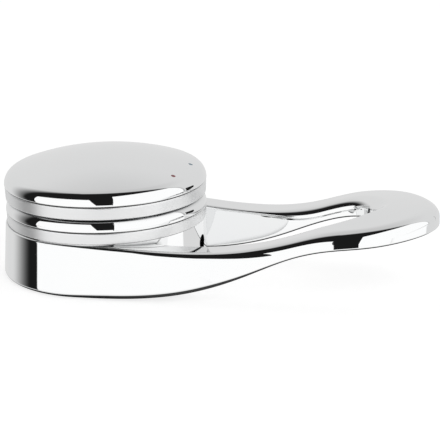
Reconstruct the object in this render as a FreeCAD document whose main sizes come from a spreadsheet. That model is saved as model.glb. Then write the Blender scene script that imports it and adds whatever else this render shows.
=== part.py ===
import FreeCAD, Part
import math
import os
import Sketcher
from FreeCAD import Placement, Rotation, Vector

# Replacement handle for a single-lever mixer tap: a hub with a skirt and an open loop lever cast in one,
# a domed cap in two tiers, a grub screw and two temperature marks.
# Millimetres. The origin is the centre of the skirt's rim, +Z is up and the lever points along +X.

doc = FreeCAD.newDocument("tap_handle")
sheet = doc.addObject("Spreadsheet::Sheet", "Sizes")

DRIVING_SIZES = {
    # Hub and skirt
    "hub_height": 13.6,
    "hub_radius": 25.6,
    "skirt_spread": 1.65,
    "skirt_draw": 0.26,
    "blank_low": 2.0,
    "blank_high": 24.0,
    # Lever outline, half widths at the high plane of the blank and how much wider they are at the low plane
    "root_reach": 10.0,
    "shoulder_reach": 24.0,
    "shoulder_half": 23.25,
    "shoulder_flare": 2.15,
    "arm_reach": 42.0,
    "arm_half": 19.9,
    "arm_flare": 4.0,
    "waist_reach": 54.0,
    "waist_half": 18.4,
    "waist_flare": 4.6,
    "paddle_reach": 66.0,
    "paddle_half": 19.8,
    "paddle_flare": 4.95,
    "corner_reach": 78.0,
    "corner_half": 18.4,
    "corner_flare": 4.6,
    "tip_reach": 86.9,
    "tip_half": 5.0,
    "tip_flare": 3.2,
    # Loop opening, half widths along the lever
    "slot_root_reach": 10.0,
    "slot_root_half": 18.2,
    "slot_near_reach": 25.0,
    "slot_near_half": 17.5,
    "slot_mid_reach": 39.0,
    "slot_mid_half": 14.2,
    "slot_far_reach": 53.0,
    "slot_far_half": 10.4,
    "slot_end_reach": 66.0,
    "slot_end_half": 10.9,
    "slot_tip_reach": 71.6,
    "slot_tip_half": 1.8,
    # Crest of the lever: heights on the middle plane, and how far the crown falls off at the margin
    "seat_rise": 0.15,
    "crest_hub_reach": 2.0,
    "crest_root_reach": 9.0,
    "crest_root_drop": 0.3,
    "crest_fall_reach": 17.0,
    "crest_fall_height": 12.65,
    "crest_dip_reach": 29.0,
    "crest_dip_height": 12.05,
    "crest_mid_reach": 41.0,
    "crest_mid_height": 12.75,
    "crest_rise_reach": 52.0,
    "crest_rise_height": 15.15,
    "crest_rise_camber": 0.3,
    "crest_neck_reach": 61.0,
    "crest_neck_height": 18.3,
    "crest_neck_camber": 2.7,
    "crest_paddle_reach": 70.0,
    "crest_paddle_height": 20.45,
    "crest_paddle_camber": 4.5,
    "crest_tip_reach": 80.0,
    "crest_tip_height": 20.75,
    "crest_tip_camber": 4.5,
    "crest_end_height": 20.1,
    "crest_margin": 32.0,
    # Belly line of the lever, seen from the side
    "belly_start_reach": 4.0,
    "belly_root_reach": 16.0,
    "belly_near_reach": 30.0,
    "belly_near_height": 1.5,
    "belly_mid_reach": 45.0,
    "belly_mid_height": 7.4,
    "belly_rise_reach": 58.0,
    "belly_rise_height": 13.9,
    "belly_paddle_reach": 74.0,
    "belly_paddle_height": 15.7,
    "belly_end_height": 15.5,
    "side_margin": 5.0,
    # Roundings of the casting
    "crest_rounding": 1.2,
    "slot_rounding": 1.2,
    "belly_rounding": 0.6,
    # Underside of the hub
    "rim_wall": 2.1,
    "register_depth": 5.0,
    "register_step": 1.1,
    "deck_thickness": 3.4,
    "boss_radius": 8.0,
    "rib_thickness": 2.2,
    "rib_drop": 4.0,
    "socket_width": 8.2,
    "socket_depth": 7.0,
    # Grub screw and the bar that carries it
    "bar_width": 8.4,
    "screw_height": 8.0,
    "screw_radius": 1.95,
    "screw_clearance": 0.05,
    "screw_length": 8.0,
    "screw_setback": 0.1,
    "screw_point": 0.7,
    "key_width": 2.0,
    "key_depth": 2.5,
    # Cap, from its seat upwards
    "cap_overhang": 0.06,
    "lower_band_height": 3.2,
    "lower_band_draft": 0.2,
    "lower_shoulder_radius": 3.94,
    "lower_shoulder_height": 3.15,
    "upper_band_lead": 0.13,
    "upper_band_height": 3.5,
    "upper_band_draft": 0.24,
    "upper_shoulder_radius": 3.62,
    "dome_radius": 69.0,
    "tier_step": 0.12,
    "cap_wall": 3.0,
    "cap_crown": 2.4,
    "collar_inset": 5.65,
    "collar_wall": 1.8,
    "collar_drop": 1.9,
    "collar_clearance": 0.1,
    # Temperature marks
    "mark_inset": 3.83,
    "mark_half_angle": 15.0,
    "mark_turn": -4.8,
    "mark_radius": 0.58,
    "mark_depth": 0.6,
    "mark_clearance": 0.03,
}

for row, (alias, number) in enumerate(DRIVING_SIZES.items(), start=1):
    sheet.set("A%d" % row, alias)
    sheet.set("B%d" % row, str(number))
    sheet.setAlias("B%d" % row, alias)
doc.recompute()


class Size:
    """A number together with the spreadsheet expression that it comes from."""

    def __init__(self, value, text):
        self.value = value
        self.text = text

    def _with(self, other, sign, value):
        text = other.text if isinstance(other, Size) else str(other)
        return Size(value, "(%s %s %s)" % (self.text, sign, text))

    def __add__(self, other):
        return self._with(other, "+", self.value + plain(other))

    def __sub__(self, other):
        return self._with(other, "-", self.value - plain(other))

    def __mul__(self, other):
        return self._with(other, "*", self.value * plain(other))

    def __truediv__(self, other):
        return self._with(other, "/", self.value / plain(other))


def plain(size):
    return size.value if isinstance(size, Size) else size


def root(size):
    return Size(math.sqrt(size.value), "sqrt(%s)" % size.text)


def size(alias):
    return Size(DRIVING_SIZES[alias], "Sizes.%s" % alias)


def bind(feature, prop, value):
    feature.setExpression(prop, value.text)


# Sketch helpers

def origin_plane(body, role):
    return [item for item in body.Origin.OriginFeatures if item.Role == role][0]


def new_sketch(body, name, role, lift=None):
    sketch = body.newObject("Sketcher::SketchObject", name)
    sketch.AttachmentSupport = [(origin_plane(body, role), "")]
    sketch.MapMode = "FlatFace"
    if lift is not None:
        sketch.AttachmentOffset = Placement(Vector(0, 0, lift.value), Rotation())
        bind(sketch, "AttachmentOffset.Base.z", lift)
    return sketch


def pin_axis(sketch, kind, geo, pos, value, axis_line):
    if abs(plain(value)) < 1e-9:
        sketch.addConstraint(Sketcher.Constraint("PointOnObject", geo, pos, axis_line))
        return
    if value.value > 0:
        index = sketch.addConstraint(Sketcher.Constraint(kind, -1, 1, geo, pos, value.value))
        bind(sketch, "Constraints[%d]" % index, value)
        return
    index = sketch.addConstraint(Sketcher.Constraint(kind, geo, pos, -1, 1, -value.value))
    bind(sketch, "Constraints[%d]" % index, Size(-value.value, "-(%s)" % value.text))


def pin(sketch, geo, pos, point):
    """Holds one point of the sketch at a pair of sizes measured from the sketch's origin."""
    pin_axis(sketch, "DistanceX", geo, pos, point[0], -2)
    pin_axis(sketch, "DistanceY", geo, pos, point[1], -1)


def vector(point):
    return Vector(plain(point[0]), plain(point[1]), 0)


def join(sketch, first, first_pos, second, second_pos):
    sketch.addConstraint(Sketcher.Constraint("Coincident", first, first_pos, second, second_pos))


def polygon(sketch, corners):
    """Draws a closed outline of straight lines, with each corner held by its two sizes."""
    lines = []
    for here, after in zip(corners, corners[1:] + corners[:1]):
        lines.append(sketch.addGeometry(Part.LineSegment(vector(here), vector(after)), False))
    for line, after in zip(lines, lines[1:] + lines[:1]):
        join(sketch, line, 2, after, 1)
    for line, corner in zip(lines, corners):
        pin(sketch, line, 1, corner)


def spline(sketch, poles):
    """Draws a smooth cubic curve whose control points are held by their sizes."""
    degree = 3
    spans = len(poles) - degree
    curve = Part.BSplineCurve()
    ends = [degree + 1] + [1] * (spans - 1) + [degree + 1]
    curve.buildFromPolesMultsKnots([vector(p) for p in poles], ends, list(range(spans + 1)), False, degree)
    geo = sketch.addGeometry(curve, False)
    sketch.exposeInternalGeometry(geo)
    for number, pole in enumerate(poles):
        pin(sketch, geo + 1 + number, 3, pole)
    return geo


def line_between(sketch, first, first_pos, second, second_pos):
    start = sketch.getPoint(first, first_pos)
    end = sketch.getPoint(second, second_pos)
    line = sketch.addGeometry(Part.LineSegment(start, end), False)
    join(sketch, line, 1, first, first_pos)
    join(sketch, line, 2, second, second_pos)
    return line


def mirrored(poles):
    return [(x, Size(0, "0") - y if plain(y) else y) for x, y in poles]


def pocket(body, name, sketch, reverse=False, depth=None):
    feature = body.newObject("PartDesign::Pocket", name)
    feature.Profile = sketch
    if depth is None:
        feature.Type = "ThroughAll"
        feature.Midplane = True
    else:
        bind(feature, "Length", depth)
        feature.Reversed = reverse
    return feature


def pad(body, name, sketch, height, reverse=False):
    feature = body.newObject("PartDesign::Pad", name)
    feature.Profile = sketch
    feature.Reversed = reverse
    bind(feature, "Length", height)
    return feature


def fillet(body, name, base, edges, radius):
    feature = body.newObject("PartDesign::Fillet", name)
    feature.Base = (base, edges)
    bind(feature, "Radius", radius)
    return feature


nil = Size(0, "0")
hub_height = size("hub_height")
hub_radius = size("hub_radius")
skirt_low_radius = hub_radius + size("skirt_spread")
skirt_high_radius = hub_radius - size("skirt_draw")
register_radius = hub_radius - size("rim_wall")
cavity_radius = register_radius - size("register_step")
cavity_top = hub_height - size("deck_thickness")
boss_foot = size("register_depth")
half_socket = size("socket_width") / 2


# Lever body: the casting's blank, cut to its crest, belly and loop

def outline_poles(radius, flared):
    poles = [(nil, radius), (size("root_reach"), radius)]
    for name in ("shoulder", "arm", "waist", "paddle", "corner", "tip"):
        half = size(name + "_half")
        if flared:
            half = half + size(name + "_flare")
        poles.append((size(name + "_reach"), half))
    poles.append((size("tip_reach"), nil))
    return poles


def outline_sketch(body, name, radius, lift, flared):
    sketch = new_sketch(body, name, "XY_Plane", lift)
    poles = outline_poles(radius, flared)
    left = spline(sketch, poles)
    right = spline(sketch, mirrored(poles[:-1]) + poles[-1:])
    back = sketch.addGeometry(Part.ArcOfCircle(
        Part.Circle(Vector(), Vector(0, 0, 1), radius.value), math.pi / 2, 3 * math.pi / 2), False)
    sketch.addConstraint(Sketcher.Constraint("PointOnObject", back, 3, -2))
    join(sketch, back, 1, left, 1)
    join(sketch, back, 2, right, 1)
    return sketch


lever = doc.addObject("PartDesign::Body", "LeverBody")
lever.Label = "lever_body"
low_outline = outline_sketch(lever, "LowOutline", skirt_low_radius, nil - size("blank_low"), True)
high_outline = outline_sketch(lever, "HighOutline", skirt_high_radius, size("blank_high"), False)
blank = lever.newObject("PartDesign::AdditiveLoft", "Blank")
blank.Profile = low_outline
blank.Sections = [high_outline]
blank.Ruled = True

behind = nil - skirt_low_radius - size("side_margin")
side_end = size("tip_reach") + size("side_margin")


def crest_section(name, reach, height, camber):
    """Draws the waste above the lever at one station: a crowned underside and a box over it."""
    sketch = new_sketch(lever, "Crest" + name, "YZ_Plane", reach)
    margin = size("crest_margin")
    edge = height - camber
    # Control points a third of the way in, and a third higher than the crown, make the curve a parabola
    third = margin / 3
    crown = edge + camber * 4 / 3
    top = size("blank_high") + size("side_margin")
    curve = spline(sketch, [(nil - margin, edge), (nil - third, crown), (third, crown), (margin, edge)])
    right = sketch.addGeometry(Part.LineSegment(vector((margin, edge)), vector((margin, top))), False)
    join(sketch, right, 1, curve, 2)
    pin(sketch, right, 2, (margin, top))
    lid = sketch.addGeometry(Part.LineSegment(vector((margin, top)), vector((nil - margin, top))), False)
    join(sketch, lid, 1, right, 2)
    pin(sketch, lid, 2, (nil - margin, top))
    line_between(sketch, lid, 2, curve, 1)
    return sketch


# The crest is level round the hub, flat across the arms and crowned over the paddle
rim_height = hub_height - size("seat_rise")
root_height = hub_height - size("crest_root_drop")
crest_sections = []
for thirds in (3, 2, 1):
    crest_sections.append(crest_section("Behind%d" % thirds, behind * thirds / 3, rim_height, nil))
crest_sections.append(crest_section("Hub", size("crest_hub_reach"), rim_height, nil))
crest_sections.append(crest_section("Root", size("crest_root_reach"), root_height, nil))
for name in ("fall", "dip", "mid", "rise", "neck", "paddle", "tip"):
    camber_name = "crest_%s_camber" % name
    camber = size(camber_name) if camber_name in DRIVING_SIZES else nil
    station = size("crest_%s_reach" % name)
    crest_sections.append(crest_section(name.capitalize(), station, size("crest_%s_height" % name), camber))
crest_sections.append(crest_section("End", side_end, size("crest_end_height"), size("crest_tip_camber")))
crest_cut = lever.newObject("PartDesign::SubtractiveLoft", "CrestCut")
crest_cut.Profile = crest_sections[0]
crest_cut.Sections = crest_sections[1:]
crest_cut.Ruled = False


def belly_waste(poles, limit):
    """Draws the waste below the belly: a flat stretch under the hub, a smooth curve and a box round it."""
    sketch = new_sketch(lever, "BellyWaste", "XZ_Plane")
    curve = spline(sketch, poles)
    flat = sketch.addGeometry(Part.LineSegment(vector((behind, nil)), vector(poles[0])), False)
    pin(sketch, flat, 1, (behind, nil))
    join(sketch, flat, 2, curve, 1)
    front = sketch.addGeometry(Part.LineSegment(vector(poles[-1]), vector((poles[-1][0], limit))), False)
    join(sketch, front, 1, curve, 2)
    pin(sketch, front, 2, (poles[-1][0], limit))
    far = sketch.addGeometry(Part.LineSegment(vector((poles[-1][0], limit)), vector((behind, limit))), False)
    join(sketch, far, 1, front, 2)
    pin(sketch, far, 2, (behind, limit))
    line_between(sketch, far, 2, flat, 1)
    return sketch


belly_poles = [(size("belly_start_reach"), nil), (size("belly_root_reach"), nil)]
for name in ("near", "mid", "rise", "paddle"):
    belly_poles.append((size("belly_%s_reach" % name), size("belly_%s_height" % name)))
belly_poles.append((side_end, size("belly_end_height")))
belly_sketch = belly_waste(belly_poles, nil - size("blank_low") - size("side_margin"))
belly_cut = pocket(lever, "BellyCut", belly_sketch)


# Roundings of the casting: the edges are found by the way that their two faces point

LEVEL_FACE = 0.85
UPRIGHT_FACE = 0.4


def facing(face):
    u_low, u_high, v_low, v_high = face.ParameterRange
    return face.normalAt((u_low + u_high) / 2, (v_low + v_high) / 2)


def is_outer_wall(face):
    return abs(facing(face).z) < UPRIGHT_FACE


def is_slot_wall(face):
    normal = facing(face)
    return abs(normal.z) < UPRIGHT_FACE and normal.y * face.CenterOfMass.y < 0


def edges_between(shape, sign, wall_test):
    """Names the edges that part a level face, up or down by the sign, from a wall."""
    levels = [face for face in shape.Faces if sign * facing(face).z > LEVEL_FACE]
    walls = [face for face in shape.Faces if wall_test(face)]
    names = []
    for number, edge in enumerate(shape.Edges, start=1):
        on_level = any(edge.isSame(other) for face in levels for other in face.Edges)
        on_wall = any(edge.isSame(other) for face in walls for other in face.Edges)
        if on_level and on_wall:
            names.append("Edge%d" % number)
    return names


def round_over(name, base, sign, wall_test, radius):
    doc.recompute()
    return fillet(lever, name, base, edges_between(base.Shape, sign, wall_test), radius)


crest_round = round_over("CrestRound", belly_cut, 1, is_outer_wall, size("crest_rounding"))
belly_round = round_over("BellyRound", crest_round, -1, is_outer_wall, size("belly_rounding"))

slot_sketch = new_sketch(lever, "SlotOutline", "XY_Plane")
slot_poles = []
for name in ("root", "near", "mid", "far", "end", "tip"):
    slot_poles.append((size("slot_%s_reach" % name), size("slot_%s_half" % name)))
slot_poles.append((size("slot_tip_reach"), nil))
slot_left = spline(slot_sketch, slot_poles)
slot_right = spline(slot_sketch, mirrored(slot_poles[:-1]) + slot_poles[-1:])
line_between(slot_sketch, slot_left, 1, slot_right, 1)
slot_cut = pocket(lever, "SlotCut", slot_sketch)
slot_round = round_over("SlotRound", slot_cut, 1, is_slot_wall, size("slot_rounding"))
slot_under_round = round_over("SlotUnderRound", slot_round, -1, is_slot_wall, size("belly_rounding"))


# Hub of the lever body: the column under the cap, hollow from below

def circle(sketch, radius, height=None):
    centre = Vector(0, plain(height) if height else 0, 0)
    geo = sketch.addGeometry(Part.Circle(centre, Vector(0, 0, 1), radius.value), False)
    if height is None:
        join(sketch, geo, 3, -1, 1)
    else:
        pin(sketch, geo, 3, (nil, height))
    index = sketch.addConstraint(Sketcher.Constraint("Radius", geo, radius.value))
    bind(sketch, "Constraints[%d]" % index, radius)


def groove(body, name, corners):
    sketch = new_sketch(body, name + "Profile", "XZ_Plane")
    polygon(sketch, corners)
    feature = body.newObject("PartDesign::Groove", name)
    feature.Profile = sketch
    feature.ReferenceAxis = (sketch, ["V_Axis"])
    feature.Angle = 360
    return feature


column_sketch = new_sketch(lever, "ColumnOutline", "XY_Plane")
circle(column_sketch, hub_radius)
column = pad(lever, "Column", column_sketch, hub_height)

below_rim = nil - size("blank_low")
cavity = groove(lever, "Cavity", [
    (nil, below_rim),
    (register_radius, below_rim),
    (register_radius, boss_foot),
    (cavity_radius, boss_foot),
    (cavity_radius, cavity_top),
    (nil, cavity_top),
])

collar_outer = hub_radius - size("collar_inset")
collar_inner = collar_outer - size("collar_wall")
seat_floor = hub_height - size("collar_drop") - size("collar_clearance")
above_deck = hub_height + size("blank_low")
collar_seat = groove(lever, "CollarSeat", [
    (collar_inner - size("collar_clearance"), seat_floor),
    (collar_outer + size("collar_clearance"), seat_floor),
    (collar_outer + size("collar_clearance"), above_deck),
    (collar_inner - size("collar_clearance"), above_deck),
])

# The boss with the stem socket, the bar for the grub screw and the ribs all grow down from the deck
into_deck = (seat_floor - cavity_top) / 2
into_wall = cavity_radius + (hub_radius - cavity_radius) / 2
boss_height = cavity_top - boss_foot + into_deck
boss_sketch = new_sketch(lever, "BossOutline", "XY_Plane", boss_foot)
circle(boss_sketch, size("boss_radius"))
boss = pad(lever, "Boss", boss_sketch, boss_height)

half_bar = size("bar_width") / 2
bar_sketch = new_sketch(lever, "BarOutline", "XY_Plane", boss_foot)
polygon(bar_sketch, [
    (nil, nil - half_bar),
    (into_wall, nil - half_bar),
    (into_wall, half_bar),
    (nil, half_bar),
])
bar = pad(lever, "ScrewBar", bar_sketch, boss_height)

half_rib = size("rib_thickness") / 2
rib_sketch = new_sketch(lever, "RibOutline", "XY_Plane", cavity_top - size("rib_drop"))
polygon(rib_sketch, [
    (nil - half_rib, nil),
    (half_rib, nil),
    (half_rib, into_wall),
    (nil - half_rib, into_wall),
])
rib = pad(lever, "Rib", rib_sketch, size("rib_drop") + into_deck)
ribs = lever.newObject("PartDesign::PolarPattern", "Ribs")
ribs.Originals = [rib]
ribs.Axis = (rib_sketch, ["N_Axis"])
ribs.Angle = 180
ribs.Occurrences = 3
lever.Tip = ribs

socket_sketch = new_sketch(lever, "SocketOutline", "XY_Plane", boss_foot)
polygon(socket_sketch, [
    (nil - half_socket, nil - half_socket),
    (half_socket, nil - half_socket),
    (half_socket, half_socket),
    (nil - half_socket, half_socket),
])
socket = pocket(lever, "Socket", socket_sketch, True, size("socket_depth"))

screw_sketch = new_sketch(lever, "ScrewHoleOutline", "YZ_Plane")
circle(screw_sketch, size("screw_radius") + size("screw_clearance"), size("screw_height"))
screw_hole = pocket(lever, "ScrewHole", screw_sketch, True, hub_radius + size("side_margin"))


# Cap: a turned shell in two tiers under a shallow dome, with a collar that seats in the deck

def profile(sketch, corners, arcs):
    """Draws a closed outline; arcs gives each round stretch its radius and whether it turns left."""
    pieces = []
    for number, here in enumerate(corners):
        after = corners[(number + 1) % len(corners)]
        if number not in arcs:
            pieces.append((sketch.addGeometry(Part.LineSegment(vector(here), vector(after)), False), 1, 2))
            continue
        radius, left = arcs[number]
        low, high = (here, after) if left else (after, here)
        pieces.append((sketch.addGeometry(arc_through(vector(low), vector(high), radius.value), False),
                       1 if left else 2, 2 if left else 1))
        index = sketch.addConstraint(Sketcher.Constraint("Radius", pieces[-1][0], radius.value))
        bind(sketch, "Constraints[%d]" % index, radius)
    for piece, after in zip(pieces, pieces[1:] + pieces[:1]):
        join(sketch, piece[0], piece[2], after[0], after[1])
    for piece, corner in zip(pieces, corners):
        pin(sketch, piece[0], piece[1], corner)


def arc_through(start, end, radius):
    """The shorter arc from start to end that turns to the left."""
    chord = end - start
    reach = math.sqrt(radius * radius - chord.Length * chord.Length / 4)
    centre = (start + end) * 0.5 + Vector(-chord.y, chord.x, 0).normalize() * reach
    first = math.atan2(start.y - centre.y, start.x - centre.x)
    last = math.atan2(end.y - centre.y, end.x - centre.x)
    return Part.ArcOfCircle(Part.Circle(centre, Vector(0, 0, 1), radius), first, last)


lower_band_foot = hub_radius + size("cap_overhang")
lower_tier_radius = lower_band_foot + size("lower_band_draft")
upper_band_foot = lower_band_foot + size("upper_band_lead")
upper_tier_radius = upper_band_foot + size("upper_band_draft")
lower_crease = hub_height + size("lower_band_height")
undercut = lower_crease + size("lower_shoulder_height")
upper_crease = undercut + size("upper_band_height")
lower_round = size("lower_shoulder_radius")
lower_rise = size("lower_shoulder_height")
undercut_radius = lower_tier_radius - lower_round + root(lower_round * lower_round - lower_rise * lower_rise)
dome = size("dome_radius")
upper_round = size("upper_shoulder_radius")
shoulder_centre = upper_tier_radius - upper_round
dome_reach = dome - upper_round
dome_drop = root(dome_reach * dome_reach - shoulder_centre * shoulder_centre)
dome_centre = upper_crease - dome_drop
blend_radius = shoulder_centre * dome / dome_reach
blend_height = dome_centre + dome_drop * dome / dome_reach
crown = dome - size("cap_crown")
ceiling = dome_centre + root(crown * crown - collar_inner * collar_inner)
cap_inner = lower_band_foot - size("cap_wall")
collar_foot = hub_height - size("collar_drop")

shell = doc.addObject("PartDesign::Body", "CapShell")
shell_sketch = new_sketch(shell, "CapProfile", "XZ_Plane")
profile(shell_sketch, [
    (lower_band_foot, hub_height),
    (lower_tier_radius - size("tier_step"), lower_crease),
    (lower_tier_radius, lower_crease),
    (undercut_radius, undercut),
    (upper_band_foot, undercut),
    (upper_tier_radius - size("tier_step"), upper_crease),
    (upper_tier_radius, upper_crease),
    (blend_radius, blend_height),
    (nil, dome_centre + dome),
    (nil, dome_centre + crown),
    (collar_inner, ceiling),
    (collar_inner, collar_foot),
    (collar_outer, collar_foot),
    (collar_outer, upper_crease),
    (cap_inner, upper_crease),
    (cap_inner, hub_height),
], {2: (lower_round, True), 6: (upper_round, True), 7: (dome, True), 9: (crown, False)})
shell_turn = shell.newObject("PartDesign::Revolution", "CapTurn")
shell_turn.Profile = shell_sketch
shell_turn.ReferenceAxis = (shell_sketch, ["V_Axis"])
shell_turn.Angle = 360


# Temperature marks: enamel inlays in round recesses, square to the dome

def mark_place(side):
    ring = plain(upper_tier_radius - size("mark_inset"))
    tilt = math.degrees(math.asin(ring / dome.value))
    turn = Rotation(Vector(0, 0, 1), side * plain(size("mark_half_angle")) + plain(size("mark_turn")))
    facing = turn * Rotation(Vector(0, 1, 0), tilt)
    outward = facing.multVec(Vector(0, 0, 1))
    floor = Vector(0, 0, dome_centre.value) + outward * (dome.value - plain(size("mark_depth")))
    return Placement(floor, facing)


def mark_cylinder(name, side, radius, height):
    cylinder = doc.addObject("Part::Cylinder", name)
    bind(cylinder, "Radius", radius)
    bind(cylinder, "Height", height)
    cylinder.Placement = mark_place(side)
    return cylinder


marks = []
recesses = []
for name, side in (("hot_mark", -1), ("cold_mark", 1)):
    mark = mark_cylinder(name, side, size("mark_radius"), size("mark_depth"))
    mark.Label = name
    marks.append(mark)
    recesses.append(mark_cylinder(name + "_recess", side, size("mark_radius") + size("mark_clearance"),
                                  size("mark_depth") + size("cap_crown")))
recess_pair = doc.addObject("Part::MultiFuse", "RecessPair")
recess_pair.Shapes = recesses
cap = doc.addObject("Part::Cut", "Cap")
cap.Base = shell
cap.Tool = recess_pair
cap.Label = "cap"


# Grub screw: a headless screw with a hexagon socket, in the bar between the loop and the stem socket

screw = doc.addObject("PartDesign::Body", "GrubScrew")
screw.Label = "grub_screw"
screw_profile = new_sketch(screw, "ScrewProfile", "XY_Plane")
polygon(screw_profile, [
    (nil, nil),
    (size("screw_length"), nil),
    (size("screw_length"), size("screw_radius")),
    (size("screw_point"), size("screw_radius")),
    (nil, size("screw_radius") - size("screw_point")),
])
screw_turn = screw.newObject("PartDesign::Revolution", "ScrewTurn")
screw_turn.Profile = screw_profile
screw_turn.ReferenceAxis = (screw_profile, ["H_Axis"])
screw_turn.Angle = 360
key_sketch = new_sketch(screw, "KeyOutline", "YZ_Plane", size("screw_length"))
half_key = size("key_width") / 2
key_corner = half_key / math.cos(math.radians(30))
polygon(key_sketch, [
    (key_corner, nil),
    (key_corner / 2, half_key),
    (nil - key_corner / 2, half_key),
    (nil - key_corner, nil),
    (nil - key_corner / 2, nil - half_key),
    (key_corner / 2, nil - half_key),
])
key = pocket(screw, "Key", key_sketch, False, size("key_depth"))
bind(screw, "Placement.Base.x", half_socket + size("screw_setback"))
bind(screw, "Placement.Base.z", size("screw_height"))


# Every feature has to be sound before anything is written

doc.recompute()
for item in doc.Objects:
    if "Invalid" in item.State or "Error" in item.State:
        raise RuntimeError("%s failed: %s" % (item.Name, item.getStatusString()))
for cut in (crest_cut, belly_cut, slot_cut, cavity, collar_seat, socket, screw_hole, key):
    if cut.Shape.Volume >= cut.BaseFeature.Shape.Volume:
        raise RuntimeError("%s cuts nothing" % cut.Name)

os.makedirs("parts", exist_ok=True)
for node in [lever, cap, screw] + marks:
    if node.Shape.isNull() or not node.Shape.isValid() or len(node.Shape.Solids) != 1:
        raise RuntimeError("%s is not one sound solid" % node.Label)
    node.Shape.exportStep("parts/%s.step" % node.Label)
    print(node.Label, round(node.Shape.Volume, 1), "mm3")
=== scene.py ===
import math

import bmesh
import bpy
import numpy as np
from mathutils import Matrix, Vector


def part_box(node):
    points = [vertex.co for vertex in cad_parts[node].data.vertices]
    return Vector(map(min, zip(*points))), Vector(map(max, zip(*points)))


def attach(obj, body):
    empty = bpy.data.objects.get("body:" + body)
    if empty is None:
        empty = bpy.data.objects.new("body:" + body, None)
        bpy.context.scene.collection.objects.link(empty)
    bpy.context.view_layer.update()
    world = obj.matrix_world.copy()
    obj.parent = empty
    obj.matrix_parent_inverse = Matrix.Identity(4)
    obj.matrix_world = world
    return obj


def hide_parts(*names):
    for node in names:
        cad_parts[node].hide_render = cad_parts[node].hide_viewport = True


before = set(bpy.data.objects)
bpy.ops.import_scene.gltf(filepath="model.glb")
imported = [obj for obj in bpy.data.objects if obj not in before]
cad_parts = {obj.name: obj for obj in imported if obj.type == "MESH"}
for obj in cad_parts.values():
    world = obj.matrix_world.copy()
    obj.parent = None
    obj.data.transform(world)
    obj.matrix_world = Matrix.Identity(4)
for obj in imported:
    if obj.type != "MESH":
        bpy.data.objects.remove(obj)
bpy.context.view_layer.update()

# Looks of the tap handle, in metres, with sizes that end in _MM in millimetres

MM = 0.001

# Hub and lever, as in the solids

HUB_HEIGHT_MM = 13.6
HUB_RADIUS_MM = 25.6
RIM_HEIGHT_MM = 13.45
BLANK_LOW_MM = -2.0
BLANK_HIGH_MM = 24.0
SKIRT_LOW_MM = 27.25
SKIRT_HIGH_MM = 25.34
LOW_OUTLINE_MM = [(0, SKIRT_LOW_MM), (10, SKIRT_LOW_MM), (24, 25.4), (42, 23.9), (54, 23.0), (66, 24.75),
                  (78, 23.0), (86.9, 8.2), (86.9, 0)]
HIGH_OUTLINE_MM = [(0, SKIRT_HIGH_MM), (10, SKIRT_HIGH_MM), (24, 23.25), (42, 19.9), (54, 18.4), (66, 19.8),
                   (78, 18.4), (86.9, 5.0), (86.9, 0)]
SLOT_OUTLINE_MM = [(10, 18.2), (25, 17.5), (39, 14.2), (53, 10.4), (66, 10.9), (71.6, 1.8), (71.6, 0)]
BELLY_MM = [(4, 0), (16, 0), (30, 1.5), (45, 7.4), (58, 13.9), (74, 15.7), (91.9, 15.5)]

# Crest by reach: its height on the middle plane, and how far the crown has fallen off at the margin

CREST_MM = [(-32.25, RIM_HEIGHT_MM, 0), (-21.5, RIM_HEIGHT_MM, 0), (-10.75, RIM_HEIGHT_MM, 0),
            (2, RIM_HEIGHT_MM, 0), (9, 13.3, 0), (17, 12.65, -0.3), (29, 12.05, -0.6), (41, 12.75, -0.7),
            (52, 15.15, -0.8), (61, 18.3, 0.9), (70, 20.45, 3.8), (80, 20.75, 4.5), (91.9, 20.1, 4.5)]
CREST_MARGIN_MM = 32.0

# Roundings of the lever's edges, by reach: at the hub, along the arms and at the paddle

ARM_SPAN_MM = (-6.0, 10.0)
PADDLE_SPAN_MM = (32.0, 54.0)
CREST_ROUNDING_MM = (0.5, 1.25, 2.5)
CREST_SPREAD = (1.0, 1.1, 1.2)
SLOT_ROUNDING_MM = (0.9, 0.9, 3.0)
BELLY_ROUNDING_MM = (0.95, 1.5, 0.6)
SLOT_BELLY_ROUNDING_MM = 0.5
HIDDEN_ROUNDING_MM = 0.25
ROUNDING_SHARE = 0.68
BELLY_SHARE = 0.28
CIRCLE_WEIGHT = math.sqrt(0.5)

# Underside of the hub

WALL_CORE_MM = 24.5
REGISTER_RADIUS_MM = 23.5
REGISTER_DEPTH_MM = 5.0
CAVITY_RADIUS_MM = 22.4
CAVITY_TOP_MM = 10.2
BOSS_RADIUS_MM = 8.0
BAR_WIDTH_MM = 8.4
RIB_THICKNESS_MM = 2.2
RIB_DROP_MM = 4.0
SOCKET_WIDTH_MM = 8.2
SOCKET_DEPTH_MM = 7.0
SCREW_HEIGHT_MM = 8.0
SCREW_HOLE_RADIUS_MM = 2.0
INTO_DECK_MM = 0.7
COLUMN_INSET_MM = 0.02

# Cap: radii of feet and tiers, heights of the creases and the undercut, and the shoulders' own radii

LOWER_FOOT_MM = 25.66
LOWER_CREASE_MM = 16.8
LOWER_TIER_MM = 25.86
LOWER_SHOULDER_MM = 3.94
UNDERCUT_MM = 19.95
UPPER_FOOT_MM = 25.79
UPPER_CREASE_MM = 23.45
UPPER_TIER_MM = 26.03
UPPER_SHOULDER_MM = 3.62
DOME_RADIUS_MM = 69.0
TIER_STEP_MM = 0.12
GROOVE_DEPTH_MM = 0.5
GROOVE_HEIGHT_MM = 0.7
GROOVE_TURN_DEGREES = 60
LIP_MM = 0.1
LIP_EDGE_SHARE = 0.5
FOOT_EDGE_SHARE = 0.3
CAP_INNER_MM = 22.66
COLLAR_INNER_MM = 18.15
COLLAR_OUTER_MM = 19.95
COLLAR_FOOT_MM = 11.7
CROWN_THICKNESS_MM = 2.4

# Temperature marks

MARK_RADIUS_MM = 0.58
MARK_CROWN_MM = 0.06
MARK_DEPTH_MM = 3 * MARK_CROWN_MM

# Fineness of the meshes, and the angles past which their edges stay sharp

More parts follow.
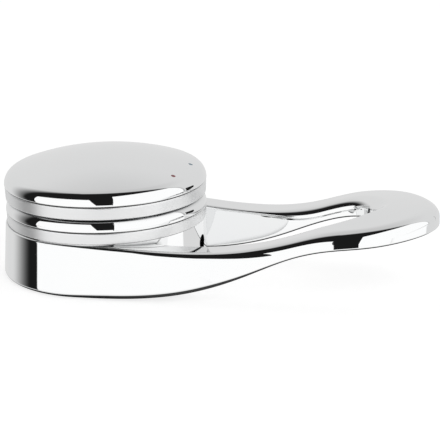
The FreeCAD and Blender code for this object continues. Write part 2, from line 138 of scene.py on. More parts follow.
SPLINE_DEGREE = 3
LINE_SAMPLES = 3001
BACK_STATIONS = 56
SIDE_STATIONS = 190
SETTLE_ROUNDS = 6
EDGE_STEPS = 10
FOOT_STEPS = 5
TURN_STEPS = 224
BOSS_STEPS = 96
HOLE_STEPS = 64
MARK_STEPS = 48
GROOVE_STEPS = 6
LOWER_SHOULDER_STEPS = 20
UPPER_SHOULDER_STEPS = 24
DOME_STEPS = 36
DROP_STEPS = 8
ACROSS_SHARES = (0, 0.02, 0.06, 0.13, 0.25, 0.4, 0.6, 0.75, 0.87, 0.94, 0.98, 1)
WALL_SHARES = (0, 0.03, 0.1, 0.25, 0.5, 0.75, 0.9, 0.97, 1)
BAND_SHARES = (0, 0.05, 0.2, 0.5, 0.8, 0.95, 1)
LEVER_SHARP_DEGREES = 40
CAP_SHARP_DEGREES = 30
MARK_SHARP_DEGREES = 40


# Lines and surfaces of the lever

def spline_points(poles, places):
    """Points of a clamped cubic curve with these control points, at places from 0 to 1."""
    poles = np.array(poles, float)
    spans = len(poles) - SPLINE_DEGREE
    start = np.zeros(SPLINE_DEGREE)
    knots = np.concatenate([start, np.arange(spans + 1.0), start + spans])
    along = np.clip(np.asarray(places, float) * spans, 0, spans)
    span = np.minimum(along.astype(int), spans - 1)
    local = [poles[span + j] for j in range(SPLINE_DEGREE + 1)]
    for level in range(1, SPLINE_DEGREE + 1):
        for j in range(SPLINE_DEGREE, level - 1, -1):
            low = knots[span + j]
            high = knots[span + j + SPLINE_DEGREE - level + 1]
            share = ((along - low) / (high - low))[:, None]
            local[j] = (1 - share) * local[j - 1] + share * local[j]
    return local[SPLINE_DEGREE]


def height_line(poles):
    """A height by reach along the lever, from the control points of a side line."""
    points = spline_points(poles, np.linspace(0, 1, LINE_SAMPLES))
    return lambda plan: np.interp(plan[:, 0], points[:, 0], points[:, 1])


def line_through(reach, value):
    """A smooth line through values by reach, with no bend at its two ends."""
    gap = np.diff(reach)
    slope = np.diff(value) / gap
    system = np.eye(len(reach))
    load = np.zeros(len(reach))
    for index in range(1, len(reach) - 1):
        system[index, index - 1:index + 2] = gap[index - 1], 2 * (gap[index - 1] + gap[index]), gap[index]
        load[index] = 6 * (slope[index] - slope[index - 1])
    bend = np.linalg.solve(system, load)

    def line(place):
        index = np.clip(np.searchsorted(reach, place) - 1, 0, len(gap) - 1)
        wide = gap[index]
        before = reach[index + 1] - place
        after = place - reach[index]
        curved = (bend[index] * before ** 3 + bend[index + 1] * after ** 3) / (6 * wide)
        straight = ((value[index] / wide - bend[index] * wide / 6) * before
                    + (value[index + 1] / wide - bend[index + 1] * wide / 6) * after)
        return curved + straight

    return line


def crowned_crest():
    """The height of the crest over a place in plan."""
    reach, height, camber = np.array(CREST_MM, float).T
    middle = line_through(reach, height)
    fall = line_through(reach, camber)
    return lambda plan: middle(plan[:, 0]) - fall(plan[:, 0]) * (plan[:, 1] / CREST_MARGIN_MM) ** 2


def smooth(span, value):
    """An even rise from 0 to 1 over a span."""
    share = np.clip((value - span[0]) / (span[1] - span[0]), 0, 1)
    return share * share * (3 - 2 * share)


def by_reach(values, reach):
    """A value along the lever, from its values at the hub, on the arms and at the paddle."""
    hub, arm, paddle = values
    return hub + (arm - hub) * smooth(ARM_SPAN_MM, reach) + (paddle - arm) * smooth(PADDLE_SPAN_MM, reach)


def rounding(radii, reach, limit):
    """The radius of an edge by reach, held to its share of the lever's thickness."""
    return np.minimum(by_reach(radii, reach), limit)


def closed_half(points):
    """Adds the mirror image of a half loop that starts and ends on the lever's middle plane."""
    other = points[-2:0:-1] * np.array([1.0, -1.0])
    return np.concatenate([points, other])


def plan_normal(loop):
    """Unit vectors to the right of the way round a closed loop."""
    way = np.roll(loop, -1, axis=0) - np.roll(loop, 1, axis=0)
    normal = np.stack([way[:, 1], -way[:, 0]], axis=1)
    return normal / np.linalg.norm(normal, axis=1, keepdims=True)


# Meshes

def new_piece(name, verts, faces):
    """A piece in the scene from its points and faces."""
    mesh = bpy.data.meshes.new(name)
    mesh.from_pydata([tuple(v) for v in verts], [], faces)
    mesh.update()
    piece = bpy.data.objects.new(name, mesh)
    bpy.context.scene.collection.objects.link(piece)
    return piece


def face_outward(piece):
    """Turns the faces of a closed piece outward."""
    work = bmesh.new()
    work.from_mesh(piece.data)
    bmesh.ops.recalc_face_normals(work, faces=work.faces)
    if work.calc_volume(signed=True) < 0:
        bmesh.ops.reverse_faces(work, faces=work.faces)
    work.to_mesh(piece.data)
    work.free()


def shade(piece, sharp_degrees):
    """Smooth shading, apart from the edges that bend more than this."""
    piece.data.shade_smooth()
    piece.data.set_sharp_from_angle(angle=math.radians(sharp_degrees))


# Lever: one closed ring of rounded sections round the loop and the back of the skirt

def plan_arc(first_turn, last_turn, count):
    """Points of a circle of radius 1 in plan, from one turn up to another and without the last."""
    turns = np.linspace(first_turn, last_turn, count, endpoint=False)
    return np.stack([np.cos(turns), np.sin(turns)], axis=1)


def inner_half(back, places):
    """Half of the ring's inner loop: inside the skirt as far as the slot's corner, then along the slot."""
    dense = np.linspace(0, 1, LINE_SAMPLES)
    slot_start = dense[np.argmax(np.hypot(*spline_points(SLOT_OUTLINE_MM, dense).T) > WALL_CORE_MM)]
    slot_corner = spline_points(SLOT_OUTLINE_MM, [slot_start])[0]
    corner_turn = math.atan2(slot_corner[1], slot_corner[0])
    side_reach = spline_points(HIGH_OUTLINE_MM, places)[:, 0]
    corner_station = int(np.argmax(side_reach > slot_corner[0]))
    side = plan_arc(math.pi / 2, corner_turn, corner_station)
    slot = spline_points(SLOT_OUTLINE_MM, np.linspace(slot_start, 1, SIDE_STATIONS - corner_station))
    return np.concatenate([back * WALL_CORE_MM, side * WALL_CORE_MM, slot])


def ring_faces(rows, stations):
    """Faces between the rows of points of a closed ring, and from the last row to the first."""
    faces = []
    for row in range(rows):
        after = (row + 1) % rows
        for station in range(stations):
            beside = (station + 1) % stations
            faces.append((row * stations + station, row * stations + beside,
                          after * stations + beside, after * stations + station))
    return faces


def lever_ring():
    """The lever's arms, paddle and skirt, row by row round its section from the outer wall's foot."""
    crest = crowned_crest()
    belly = height_line(BELLY_MM)

    back = plan_arc(math.pi, math.pi / 2, BACK_STATIONS)
    places = np.linspace(0, 1, SIDE_STATIONS)
    low = closed_half(np.concatenate([back * SKIRT_LOW_MM, spline_points(LOW_OUTLINE_MM, places)]))
    high = closed_half(np.concatenate([back * SKIRT_HIGH_MM, spline_points(HIGH_OUTLINE_MM, places)]))
    inner = closed_half(inner_half(back, places))
    inward = plan_normal((low + high) / 2)
    outward = -plan_normal(inner)

    def outer_at(height):
        share = (height - BLANK_LOW_MM) / (BLANK_HIGH_MM - BLANK_LOW_MM)
        return low + (high - low) * share[:, None]

    def settle(surface):
        """The height at which the drafted wall meets the crest or the belly."""
        height = surface(high)
        for _ in range(SETTLE_ROUNDS):
            height = surface(outer_at(height))
        return height

    outer_top = settle(crest)
    outer_foot = settle(belly)
    slot_top = crest(inner)
    slot_foot = belly(inner)

    thickness = outer_top - outer_foot
    crest_round = rounding(CREST_ROUNDING_MM, high[:, 0], thickness * ROUNDING_SHARE)
    belly_round = rounding(BELLY_ROUNDING_MM, high[:, 0], thickness * BELLY_SHARE)
    hidden = np.hypot(inner[:, 0], inner[:, 1]) < HUB_RADIUS_MM
    slot_round = rounding(SLOT_ROUNDING_MM, inner[:, 0], (slot_top - slot_foot) * ROUNDING_SHARE)
    slot_round = np.where(hidden, HIDDEN_ROUNDING_MM, slot_round)
    slot_belly_round = np.where(hidden, HIDDEN_ROUNDING_MM, SLOT_BELLY_ROUNDING_MM)

    rows = []

    def corner(start, middle, end, steps):
        """A round edge between two points, drawn towards the sharp corner, without its two ends."""
        for share in np.linspace(0, 1, steps + 2)[1:-1]:
            weights = ((1 - share) ** 2, 2 * share * (1 - share) * CIRCLE_WEIGHT, share ** 2)
            mix = start * weights[0] + middle * weights[1] + end * weights[2]
            rows.append(mix / sum(weights))

    def at(plan, height):
        return np.column_stack([plan, height])

    def on(plan, surface):
        return np.column_stack([plan, surface(plan)])

    def across(start, end, surface):
        for share in ACROSS_SHARES:
            rows.append(on(start + (end - start) * share, surface))

    def wall(plan_at, start, end):
        for share in WALL_SHARES:
            height = start + (end - start) * share
            rows.append(at(plan_at(height), height))

    wall(outer_at, outer_foot + belly_round, outer_top - crest_round)
    outer_edge = outer_at(outer_top)
    outer_crest = outer_edge + inward * (crest_round * by_reach(CREST_SPREAD, high[:, 0]))[:, None]
    corner(rows[-1], at(outer_edge, outer_top), on(outer_crest, crest), EDGE_STEPS)
    across(outer_crest, inner + outward * slot_round[:, None], crest)
    slot_wall_top = slot_top - slot_round
    corner(rows[-1], at(inner, slot_top), at(inner, slot_wall_top), EDGE_STEPS)
    wall(lambda height: inner, slot_wall_top, slot_foot + slot_belly_round)
    slot_belly = inner + outward * slot_belly_round[:, None]
    corner(rows[-1], at(inner, slot_foot), on(slot_belly, belly), FOOT_STEPS)
    outer_low_edge = outer_at(outer_foot)
    across(slot_belly, outer_low_edge + inward * belly_round[:, None], belly)
    corner(rows[-1], at(outer_low_edge, outer_foot), rows[0], FOOT_STEPS)

    return new_piece("lever_ring", np.concatenate(rows) * MM, ring_faces(len(rows), len(high)))


# Turned pieces and plain blocks for the hub

def turned(name, profile_mm, steps=TURN_STEPS):
    """A closed solid turned about the hub's axis; its profile ends on the axis or closes on itself."""
    verts = []
    rings = []
    for radius, height in profile_mm:
        if radius == 0:
            rings.append([len(verts)])
            verts.append((0, 0, height * MM))
            continue
        rings.append(list(range(len(verts), len(verts) + steps)))
        for step in range(steps):
            turn = 2 * math.pi * step / steps
            verts.append((radius * math.cos(turn) * MM, radius * math.sin(turn) * MM, height * MM))
    faces = []
    for here, after in zip(rings, rings[1:] + rings[:1]):
        if len(here) == 1 and len(after) == 1:
            continue
        for step in range(steps):
            beside = (step + 1) % steps
            if len(here) == 1:
                faces.append((here[0], after[beside], after[step]))
            elif len(after) == 1:
                faces.append((here[step], here[beside], after[0]))
            else:
                faces.append((here[step], here[beside], after[beside], after[step]))
    piece = new_piece(name, verts, faces)
    face_outward(piece)
    return piece


def block(name, low_mm, high_mm):
    """A plain block between two corners."""
    corners = [(x, y, z) for x in (low_mm[0], high_mm[0]) for y in (low_mm[1], high_mm[1])
               for z in (low_mm[2], high_mm[2])]
    faces = [(0, 1, 3, 2), (4, 6, 7, 5), (0, 4, 5, 1), (2, 3, 7, 6), (0, 2, 6, 4), (1, 5, 7, 3)]
    piece = new_piece(name, [tuple(value * MM for value in corner) for corner in corners], faces)
    face_outward(piece)
    return piece


def combine(piece, tool, operation):
    """Joins a tool to a piece or cuts it away, and removes the tool."""
    change = piece.modifiers.new(operation.lower(), "BOOLEAN")
    change.operation = operation
    change.solver = "EXACT"
    change.object = tool
    evaluated = piece.evaluated_get(bpy.context.evaluated_depsgraph_get())
    made = bpy.data.meshes.new_from_object(evaluated)
    piece.modifiers.clear()
    old = piece.data
    piece.data = made
    bpy.data.meshes.remove(old)
    bpy.data.objects.remove(tool)


def hub_column():
    """The hub inside the skirt: deck, wall, boss, bar and ribs, with the stem socket and the screw's hole."""
    foot = COLUMN_INSET_MM
    top = HUB_HEIGHT_MM - COLUMN_INSET_MM
    column = turned("hub_column", [
        (0, top), (HUB_RADIUS_MM, top), (HUB_RADIUS_MM, foot), (REGISTER_RADIUS_MM, foot),
        (REGISTER_RADIUS_MM, REGISTER_DEPTH_MM), (CAVITY_RADIUS_MM, REGISTER_DEPTH_MM),
        (CAVITY_RADIUS_MM, CAVITY_TOP_MM), (0, CAVITY_TOP_MM),
    ])
    deck = CAVITY_TOP_MM + INTO_DECK_MM
    reach = (CAVITY_RADIUS_MM + HUB_RADIUS_MM) / 2
    boss = turned("boss", [(0, deck), (BOSS_RADIUS_MM, deck), (BOSS_RADIUS_MM, REGISTER_DEPTH_MM),
                           (0, REGISTER_DEPTH_MM)], BOSS_STEPS)
    combine(column, boss, "UNION")
    half_bar = BAR_WIDTH_MM / 2
    combine(column, block("bar", (0, -half_bar, REGISTER_DEPTH_MM), (reach, half_bar, deck)), "UNION")
    half_rib = RIB_THICKNESS_MM / 2
    rib_foot = CAVITY_TOP_MM - RIB_DROP_MM
    combine(column, block("rib_across", (-half_rib, -reach, rib_foot), (half_rib, reach, deck)), "UNION")
    combine(column, block("rib_behind", (-reach, -half_rib, rib_foot), (0, half_rib, deck)), "UNION")
    half_socket = SOCKET_WIDTH_MM / 2
    below = REGISTER_DEPTH_MM - INTO_DECK_MM
    combine(column, block("socket", (-half_socket, -half_socket, below),
                          (half_socket, half_socket, REGISTER_DEPTH_MM + SOCKET_DEPTH_MM)), "DIFFERENCE")
    hole = turned("hole", [(0, 0), (SCREW_HOLE_RADIUS_MM, 0), (SCREW_HOLE_RADIUS_MM, 2 * HUB_RADIUS_MM),
                           (0, 2 * HUB_RADIUS_MM)], HOLE_STEPS)
    along_lever = Matrix.Rotation(math.pi / 2, 4, "Y")
    hole.data.transform(Matrix.Translation((0, 0, SCREW_HEIGHT_MM * MM)) @ along_lever)
    combine(column, hole, "DIFFERENCE")
    return column


def joined(name, *pieces):
    """One piece that holds the meshes of several."""
    work = bmesh.new()
    for piece in pieces:
        work.from_mesh(piece.data)
        bpy.data.objects.remove(piece)
    mesh = bpy.data.meshes.new(name)
    work.to_mesh(mesh)
    work.free()
    whole = bpy.data.objects.new(name, mesh)
    bpy.context.scene.collection.objects.link(whole)
    return whole


# Cap: two tiers under a shallow dome

def arc_points(centre, radius, first_degrees, last_degrees, steps):
    """Points of an arc in a profile, with both ends."""
    points = []
    for step in range(steps + 1):
        turn = math.radians(first_degrees + (last_degrees - first_degrees) * step / steps)
        points.append((centre[0] + radius * math.cos(turn), centre[1] + radius * math.sin(turn)))
    return points


def stretch(start, end):
    """Points of a straight line in a profile, closer towards its ends."""
    return [(start[0] + (end[0] - start[0]) * share, start[1] + (end[1] - start[1]) * share)
            for share in BAND_SHARES]


def band(foot, shoulder):
    """A drafted band with a rounded foot, and the groove that parts it from the shoulder above."""
    top = (shoulder[0] - TIER_STEP_MM, shoulder[1] - GROOVE_HEIGHT_MM)
    floor = (shoulder[0] - GROOVE_DEPTH_MM, shoulder[1] - LIP_MM)
    foot_edge = FOOT_EDGE_SHARE * LIP_MM
    start = [(foot[0] - LIP_MM, foot[1]), (foot[0] - foot_edge, foot[1] + foot_edge)]
    edge_centre = (top[0] - GROOVE_DEPTH_MM, top[1])
    edge = arc_points(edge_centre, GROOVE_DEPTH_MM, 0, GROOVE_TURN_DEGREES, GROOVE_STEPS)[1:]
    lip = [floor, (shoulder[0] - LIP_EDGE_SHARE * LIP_MM, shoulder[1] - LIP_MM)]
    return start + stretch((foot[0], foot[1] + LIP_MM), top) + edge + lip


def dome_centre_mm():
    """The height of the dome's centre, from which it runs smoothly into the upper shoulder."""
    shoulder = UPPER_TIER_MM - UPPER_SHOULDER_MM
    return UPPER_CREASE_MM - math.sqrt((DOME_RADIUS_MM - UPPER_SHOULDER_MM) ** 2 - shoulder ** 2)


def cap_shell():
    """The cap, hollow, with the collar that seats in the deck."""
    lower_centre = (LOWER_TIER_MM - LOWER_SHOULDER_MM, LOWER_CREASE_MM)
    lower_end = math.degrees(math.asin((UNDERCUT_MM - LOWER_CREASE_MM) / LOWER_SHOULDER_MM))
    upper_centre = (UPPER_TIER_MM - UPPER_SHOULDER_MM, UPPER_CREASE_MM)
    dome_centre = dome_centre_mm()
    dome_start = math.degrees(math.acos(upper_centre[0] / (DOME_RADIUS_MM - UPPER_SHOULDER_MM)))
    outside = band((LOWER_FOOT_MM, HUB_HEIGHT_MM), (LOWER_TIER_MM, LOWER_CREASE_MM))
    outside += arc_points(lower_centre, LOWER_SHOULDER_MM, 0, lower_end, LOWER_SHOULDER_STEPS)
    outside += band((UPPER_FOOT_MM, UNDERCUT_MM), (UPPER_TIER_MM, UPPER_CREASE_MM))
    outside += arc_points(upper_centre, UPPER_SHOULDER_MM, 0, dome_start, UPPER_SHOULDER_STEPS)
    outside += arc_points((0, dome_centre), DOME_RADIUS_MM, dome_start, 90, DOME_STEPS)[1:-1]
    inner_dome = DOME_RADIUS_MM - CROWN_THICKNESS_MM
    ceiling = dome_centre + math.sqrt(inner_dome ** 2 - COLLAR_INNER_MM ** 2)
    inside = [(0, dome_centre + DOME_RADIUS_MM), (0, dome_centre + inner_dome), (COLLAR_INNER_MM, ceiling),
              (COLLAR_INNER_MM, COLLAR_FOOT_MM), (COLLAR_OUTER_MM, COLLAR_FOOT_MM),
              (COLLAR_OUTER_MM, UPPER_CREASE_MM), (CAP_INNER_MM, UPPER_CREASE_MM),
              (CAP_INNER_MM, HUB_HEIGHT_MM)]
    return turned("cap_skin", outside + inside)


# Marks: small crowned drops of enamel where the solids have their inlays

def enamel_mark(node):
    """A drop of enamel, seated square on the dome over a solid's middle."""
    low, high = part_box(node)
    centre = (low + high) / 2
    pivot = Vector((0, 0, dome_centre_mm() * MM))
    out = (centre - pivot).normalized()
    bulge = (MARK_RADIUS_MM ** 2 + MARK_CROWN_MM ** 2) / (2 * MARK_CROWN_MM)
    half_turn = math.degrees(math.asin(MARK_RADIUS_MM / bulge))
    top = arc_points((0, MARK_CROWN_MM - bulge), bulge, 90 - half_turn, 90, DROP_STEPS)[:-1]
    profile = [(MARK_RADIUS_MM, -MARK_DEPTH_MM)] + top + [(0, MARK_CROWN_MM), (0, -MARK_DEPTH_MM)]
    drop = turned(node + "_drop", profile, MARK_STEPS)
    seat = Matrix.Translation(pivot + out * DOME_RADIUS_MM * MM)
    drop.data.transform(seat @ out.to_track_quat("Z", "Y").to_matrix().to_4x4())
    return drop


# Materials: each noise has a scale and a detail, and each relief a strength and a depth

NOISE_SPREAD = (0.3, 0.7)
# painted shade in seams and inside corners: how far it looks, the openness over which it fades, its colour
# and its samples
PAINTED_SHADE_REACH_MM = 2.2
PAINTED_SHADE_OPEN = (0.28, 0.8)
PAINTED_SHADE_COLOUR = (0.05, 0.055, 0.06)
PAINTED_SHADE_SAMPLES = 8
CHROME_DRIFT = (60, 2)
CHROME_TONES = ((0.86, 0.868, 0.876), (0.89, 0.892, 0.888))
CHROME_HAZE = (900, 5)
CHROME_ROUGHNESS = (0.015, 0.04)
CHROME_RIPPLE = (130, 1)
CHROME_RELIEF = (0.05, 0.0001)
SATIN_ROUGHNESS = 0.36
SATIN_EDGE_MM = 0.1
STEEL_GRAIN = (2600, 4)
STEEL_TONES = ((0.42, 0.42, 0.43), (0.6, 0.6, 0.6))
STEEL_ROUGHNESS = (0.22, 0.4)
STEEL_RELIEF = (0.3, 0.00005)
ENAMEL_DEPTH = (3500, 3)
ENAMEL_ROUGHNESS = (0.18, 0.3)
ENAMEL_RELIEF = (0.15, 0.00003)
ENAMEL_COAT = 0.4
MARKS = (
    # node, slot, dark tone, light tone
    ("hot_mark", "red_enamel", (0.2, 0.008, 0.014), (0.34, 0.02, 0.03)),
    ("cold_mark", "blue_enamel", (0.0, 0.07, 0.13), (0.008, 0.13, 0.22)),
)


def new_material(name):
    material = bpy.data.materials.new(name)
    material.use_nodes = True
    tree = material.node_tree
    return material, tree, tree.nodes["Principled BSDF"]


def noise(tree, scale, detail):
    place = tree.nodes.new("ShaderNodeTexCoord")
    texture = tree.nodes.new("ShaderNodeTexNoise")
    texture.inputs["Scale"].default_value = scale
    texture.inputs["Detail"].default_value = detail
    tree.links.new(place.outputs["Object"], texture.inputs["Vector"])
    return texture.outputs["Fac"]


def ramp(tree, value, low, high):
    """Maps a noise value to a range."""
    scaled = tree.nodes.new("ShaderNodeMapRange")
    scaled.inputs["From Min"].default_value = NOISE_SPREAD[0]
    scaled.inputs["From Max"].default_value = NOISE_SPREAD[1]
    scaled.inputs["To Min"].default_value = low
    scaled.inputs["To Max"].default_value = high
    tree.links.new(value, scaled.inputs["Value"])
    return scaled.outputs["Result"]


def tint(tree, value, first, second):
    """Mixes two colours by a noise value."""
    colours = tree.nodes.new("ShaderNodeMix")
    colours.data_type = "RGBA"
    colours.inputs["A"].default_value = (*first, 1)
    colours.inputs["B"].default_value = (*second, 1)
    tree.links.new(value, colours.inputs["Factor"])
    return colours.outputs["Result"]


def bump(tree, value, strength, distance):
    relief = tree.nodes.new("ShaderNodeBump")
    relief.inputs["Strength"].default_value = strength
    relief.inputs["Distance"].default_value = distance
    tree.links.new(value, relief.inputs["Height"])
    return relief.outputs["Normal"]


def painted_seam_shade(tree, colour):
    """Paints shade into a colour deep in seams and inside corners, where little light reaches."""
    occlusion = tree.nodes.new("ShaderNodeAmbientOcclusion")
    occlusion.samples = PAINTED_SHADE_SAMPLES
    occlusion.inputs["Distance"].default_value = PAINTED_SHADE_REACH_MM * MM
    open_share = tree.nodes.new("ShaderNodeMapRange")
    open_share.inputs["From Min"].default_value = PAINTED_SHADE_OPEN[0]
    open_share.inputs["From Max"].default_value = PAINTED_SHADE_OPEN[1]
    tree.links.new(occlusion.outputs["AO"], open_share.inputs["Value"])
    mix = tree.nodes.new("ShaderNodeMix")
    mix.data_type = "RGBA"
    mix.inputs["A"].default_value = (*PAINTED_SHADE_COLOUR, 1)
    tree.links.new(open_share.outputs["Result"], mix.inputs["Factor"])
    tree.links.new(colour, mix.inputs["B"])
    return mix.outputs["Result"]


class Wiring:
    """Sums and steps on the values of a shader."""

    def __init__(self, tree):
        self.tree = tree

    def math(self, operation, *values):
        node = self.tree.nodes.new("ShaderNodeMath")
        node.operation = operation
        for socket, value in zip(node.inputs, values):
            if isinstance(value, (int, float)):
                socket.default_value = value
            else:
                self.tree.links.new(value, socket)
        return node.outputs["Value"]

    def dot(self, vector, fixed):
        node = self.tree.nodes.new("ShaderNodeVectorMath")
        node.operation = "DOT_PRODUCT"
        self.tree.links.new(vector, node.inputs[0])
        node.inputs[1].default_value = fixed
        return node.outputs["Value"]

    def step(self, value, low, high, first=0.0, last=1.0):
        node = self.tree.nodes.new("ShaderNodeMapRange")
        node.interpolation_type = "SMOOTHSTEP"
        node.inputs["From Min"].default_value = low
        node.inputs["From Max"].default_value = high
        node.inputs["To Min"].default_value = first
        node.inputs["To Max"].default_value = last
        self.tree.links.new(value, node.inputs["Value"])
        return node.outputs["Result"]

    def window(self, value, span, soft):
        """1 inside a span and 0 outside, with soft ends."""
        rise = self.step(value, span[0] - soft / 2, span[0] + soft / 2)
        fall = self.step(value, span[1] - soft / 2, span[1] + soft / 2, 1.0, 0.0)
        return self.math("MULTIPLY", rise, fall)

    def blend(self, value, level, mask):
        """A value that goes over to a fixed level where the mask is 1."""
        node = self.tree.nodes.new("ShaderNodeMix")
        self.tree.links.new(mask, node.inputs["Factor"])
        self.tree.links.new(value, node.inputs["A"])
        node.inputs["B"].default_value = level
        return node.outputs["Result"]


def chrome(name, satin_bands_mm=()):
    """Polished plating with a faint drift, haze and ripple; satin between the heights of each band."""
    material, tree, shader = new_material(name)
    wiring = Wiring(tree)
    shader.inputs["Metallic"].default_value = 1.0
    drift = tint(tree, noise(tree, *CHROME_DRIFT), *CHROME_TONES)
    # the base colour carries painted shade in seams and inside corners
    tree.links.new(painted_seam_shade(tree, drift), shader.inputs["Base Color"])
    rough = ramp(tree, noise(tree, *CHROME_HAZE), *CHROME_ROUGHNESS)
    place = tree.nodes.new("ShaderNodeTexCoord").outputs["Object"]
    height_mm = wiring.dot(place, (0, 0, 1 / MM))
    for heights in satin_bands_mm:
        rough = wiring.blend(rough, SATIN_ROUGHNESS, wiring.window(height_mm, heights, SATIN_EDGE_MM))
    tree.links.new(rough, shader.inputs["Roughness"])
    tree.links.new(bump(tree, noise(tree, *CHROME_RIPPLE), *CHROME_RELIEF), shader.inputs["Normal"])
    return material


def steel(name):
    """Bright screw steel with a fine turned grain."""
    material, tree, shader = new_material(name)
    shader.inputs["Metallic"].default_value = 1.0
    grain = noise(tree, *STEEL_GRAIN)
    tree.links.new(tint(tree, grain, *STEEL_TONES), shader.inputs["Base Color"])
    tree.links.new(ramp(tree, grain, *STEEL_ROUGHNESS), shader.inputs["Roughness"])
    tree.links.new(bump(tree, grain, *STEEL_RELIEF), shader.inputs["Normal"])
    return material


def enamel(name, dark, light):
    """Fired enamel: a little uneven in depth, glossy, with a faint ripple."""
    material, tree, shader = new_material(name)
    depth = noise(tree, *ENAMEL_DEPTH)
    tree.links.new(tint(tree, depth, dark, light), shader.inputs["Base Color"])
    tree.links.new(ramp(tree, depth, *ENAMEL_ROUGHNESS), shader.inputs["Roughness"])
    tree.links.new(bump(tree, depth, *ENAMEL_RELIEF), shader.inputs["Normal"])
    shader.inputs["Coat Weight"].default_value = ENAMEL_COAT
    return material


# Pieces in place of the solids

def dress(piece, material, node):
    """Puts a piece, with its material, in the place of a solid."""
    piece.data.materials.clear()
    piece.data.materials.append(material)
    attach(piece, "root")
    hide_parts(node)


ring = lever_ring()
face_outward(ring)
lever_skin = joined("lever_skin", ring, hub_column())
shade(lever_skin, LEVER_SHARP_DEGREES)
dress(lever_skin, chrome("chrome_lever"), "lever_body")
cap_skin = cap_shell()
shade(cap_skin, CAP_SHARP_DEGREES)
satin_bands_mm = ((HUB_HEIGHT_MM, LOWER_CREASE_MM), (UNDERCUT_MM, UPPER_CREASE_MM))
dress(cap_skin, chrome("chrome_cap", satin_bands_mm), "cap")
for node, slot, dark, light in MARKS:
    mark = enamel_mark(node)
    shade(mark, MARK_SHARP_DEGREES)
    dress(mark, enamel(slot, dark, light), node)
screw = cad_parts["grub_screw"]
screw.data.materials.clear()
screw.data.materials.append(steel("screw_steel"))

# Camera: where the photographer stood

CAMERA_HEIGHT_DEGREES = 16.83
CAMERA_ROLL_DEGREES = 1.66
LEVER_TURN_DEGREES = -17.0
CAMERA_DISTANCE_MM = 550.0
AXIS_ACROSS_MM = -28.83
AXIS_DOWN_MM = 11.79
FRAME_PIXELS = 440
PIXELS_PER_MM = 3.839
FOCAL_PIXELS = PIXELS_PER_MM * CAMERA_DISTANCE_MM
SENSOR_MM = 36.0


def camera_axes():
    """Right, down and forward of the camera, as rows in the part's frame."""
    height = math.radians(CAMERA_HEIGHT_DEGREES)
    roll = math.radians(CAMERA_ROLL_DEGREES)
    turn = math.radians(LEVER_TURN_DEGREES)
    turned_part = Matrix(((math.cos(turn), -math.sin(turn), 0),
                          (math.sin(turn), math.cos(turn), 0),
                          (0, 0, 1)))
    looked_at = Matrix(((1, 0, 0),
                        (0, -math.sin(height), -math.cos(height)),
                        (0, math.cos(height), -math.sin(height))))
    rolled = Matrix(((math.cos(roll), math.sin(roll), 0),
                     (-math.sin(roll), math.cos(roll), 0),
                     (0, 0, 1)))
    return rolled @ looked_at @ turned_part


axes = camera_axes()
right, down, forward = axes
camera_place = -(axes.transposed() @ Vector((AXIS_ACROSS_MM, AXIS_DOWN_MM, CAMERA_DISTANCE_MM))) * MM
camera_turn = Matrix((right, -down, -forward)).transposed().to_4x4()
camera_data = bpy.data.cameras.new("camera")
camera_data.sensor_width = SENSOR_MM
camera_data.lens = FOCAL_PIXELS / FRAME_PIXELS * SENSOR_MM
camera = bpy.data.objects.new("camera", camera_data)
camera.matrix_world = Matrix.Translation(camera_place) @ camera_turn
bpy.context.scene.collection.objects.link(camera)
bpy.context.scene.camera = camera

# Studio: boxes, cards and a tent, by bearing from the camera to the right and by rise, in degrees at the hub

HUB_VIEW_M = 0.02
WHITE = 1.12
DARK = 0.012
SOFT_BOXES = (
    # name, bearing of its middle, distance of its plane, corners by bearing and height in metres
    ("left_box", -22, 0.162, ((-80, 0), (-6, 0), (-17, 0.142), (-80, 0.142))),
    ("right_box", 37, 0.249, ((9.8, 0), (97, 0), (97, 0.49), (13, 0.49))),
)
NEAR_CARDS = (
    # as the soft boxes, then the level
    ("low_card", 0, 0.1, ((-14, 0), (8.3, 0), (8.3, 0.019), (-14, 0.019)), WHITE),
    ("right_card", 35, 0.071, ((96, 0), (116, 0), (116, 0.046), (96, 0.046)), DARK),
)
TENT_RADIUS_M = 1.0
TENT_SEGMENTS = (128, 64)
BACK_LEVELS = (0.77, 0.63)
BACK_FADE = (35, 72)
# dark front of the tent: tilt of its axis, reach past its sides, softness of its edge, and its foot
FRONT_TILT = -4.0
FRONT_PAST = 9.0
FRONT_SOFT = 4.0
FRONT_FOOT = (-5, -2)
CARDS = (
    # name, bearings, rises, softness of both, level
    ("left_card", (-111, -60), (-22, 80), (38, 3), DARK),
    ("table_front", (-81.5, 99), (-91, -3.5), (1.5, 3), WHITE),
    ("table_near", (-81.5, 99), (-91, -18), (3, 5), 0.97),
    ("table_under", (-181, 181), (-91, -34), (1, 8), 0.05),
)
TABLE_HALF_M = 3.0
TABLE_HEIGHT_M = -0.0002
TABLE_GREY = (0.45, 0.45, 0.45)
TABLE_GLOW = 0.79


def bearing_way(bearing):
    """The level direction from the hub at a bearing."""
    front = Vector((-forward.x, -forward.y, 0)).normalized()
    side = Vector((-front.y, front.x, 0))
    turn = math.radians(bearing)
    return front * math.cos(turn) + side * math.sin(turn)


def lit(name, mesh):
    """Adds a glowing piece of the studio that the camera doesn't see."""
    shell = bpy.data.objects.new(name, mesh)
    shell.visible_camera = False
    bpy.context.scene.collection.objects.link(shell)
    material = bpy.data.materials.new(name)
    material.use_nodes = True
    tree = material.node_tree
    tree.nodes.clear()
    glow = tree.nodes.new("ShaderNodeEmission")
    output = tree.nodes.new("ShaderNodeOutputMaterial")
    tree.links.new(glow.outputs["Emission"], output.inputs["Surface"])
    mesh.materials.append(material)
    return shell, tree, glow.inputs["Strength"]


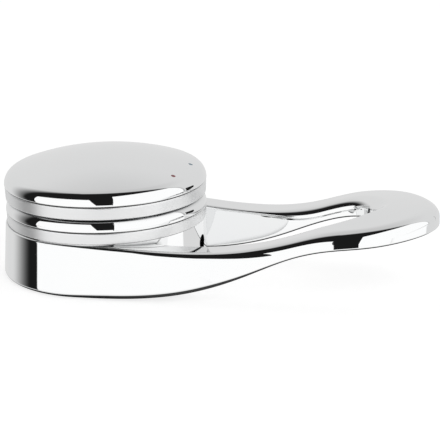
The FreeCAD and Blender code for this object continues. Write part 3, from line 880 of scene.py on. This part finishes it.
def soft_box(name, middle, distance, corners, level=WHITE, lights_table=True):
    """A flat glowing panel; if it doesn't light the table, it leaves no shadow there either."""
    verts = []
    for bearing, height in corners:
        away = distance / math.cos(math.radians(bearing - middle))
        verts.append(bearing_way(bearing) * away + Vector((0, 0, height)))
    mesh = bpy.data.meshes.new(name)
    mesh.from_pydata(verts, [], [tuple(range(len(verts)))])
    panel, _, strength = lit(name, mesh)
    panel.visible_diffuse = lights_table
    strength.default_value = level


def tent():
    """A round tent whose glow changes by bearing and rise: pale behind, dark in front, with cards on it."""
    around, upward = TENT_SEGMENTS
    work = bmesh.new()
    bmesh.ops.create_uvsphere(work, u_segments=around, v_segments=upward, radius=TENT_RADIUS_M)
    bmesh.ops.translate(work, verts=work.verts, vec=(0, 0, HUB_VIEW_M))
    mesh = bpy.data.meshes.new("tent")
    work.to_mesh(mesh)
    work.free()
    _, tree, strength = lit("tent", mesh)
    wiring = Wiring(tree)
    place = tree.nodes.new("ShaderNodeTexCoord").outputs["Object"]
    front = bearing_way(0)
    degrees = 180 / math.pi
    bearing = wiring.math("ARCTAN2", wiring.dot(place, bearing_way(90)), wiring.dot(place, front))
    bearing = wiring.math("MULTIPLY", bearing, degrees)
    rise = wiring.math("ARCSINE", wiring.dot(place, (0, 0, 1 / TENT_RADIUS_M)))
    rise = wiring.math("MULTIPLY", rise, degrees)
    level = wiring.step(rise, *BACK_FADE, *BACK_LEVELS)
    tilt = math.radians(FRONT_TILT)
    axis = (front * math.cos(tilt) + Vector((0, 0, math.sin(tilt)))) / TENT_RADIUS_M
    edges = [math.sin(math.radians(-FRONT_PAST + way * FRONT_SOFT)) for way in (-1, 1)]
    dark_front = wiring.step(wiring.dot(place, axis), *edges)
    level = wiring.blend(level, DARK, wiring.math("MULTIPLY", dark_front, wiring.step(rise, *FRONT_FOOT)))
    for _, bearings, rises, soft, card_level in CARDS:
        mask = wiring.math("MULTIPLY", wiring.window(bearing, bearings, soft[0]),
                           wiring.window(rise, rises, soft[1]))
        level = wiring.blend(level, card_level, mask)
    tree.links.new(level, strength)


def backdrop():
    world = bpy.data.worlds.new("white")
    bpy.context.scene.world = world
    world.use_nodes = True
    world.node_tree.nodes["Background"].inputs["Color"].default_value = (1, 1, 1, 1)
    world.node_tree.nodes["Background"].inputs["Strength"].default_value = 1.0


def table():
    """A pale matt table with a little glow of its own, so that it stays white to the picture's edge."""
    sides = ((-1, -1), (1, -1), (1, 1), (-1, 1))
    corners = [(x * TABLE_HALF_M, y * TABLE_HALF_M, TABLE_HEIGHT_M) for x, y in sides]
    floor = new_piece("table", corners, [(0, 1, 2, 3)])
    material = bpy.data.materials.new("table_white")
    material.use_nodes = True
    tree = material.node_tree
    tree.nodes.clear()
    matt = tree.nodes.new("ShaderNodeBsdfDiffuse")
    matt.inputs["Color"].default_value = (*TABLE_GREY, 1)
    glow = tree.nodes.new("ShaderNodeEmission")
    glow.inputs["Strength"].default_value = TABLE_GLOW
    both = tree.nodes.new("ShaderNodeAddShader")
    output = tree.nodes.new("ShaderNodeOutputMaterial")
    tree.links.new(matt.outputs["BSDF"], both.inputs[0])
    tree.links.new(glow.outputs["Emission"], both.inputs[1])
    tree.links.new(both.outputs["Shader"], output.inputs["Surface"])
    floor.data.materials.append(material)
    floor.visible_glossy = False


for box in SOFT_BOXES:
    soft_box(*box)
for card in NEAR_CARDS:
    soft_box(*card, lights_table=False)
tent()
backdrop()
table()
bpy.context.scene.view_settings.view_transform = "Standard"
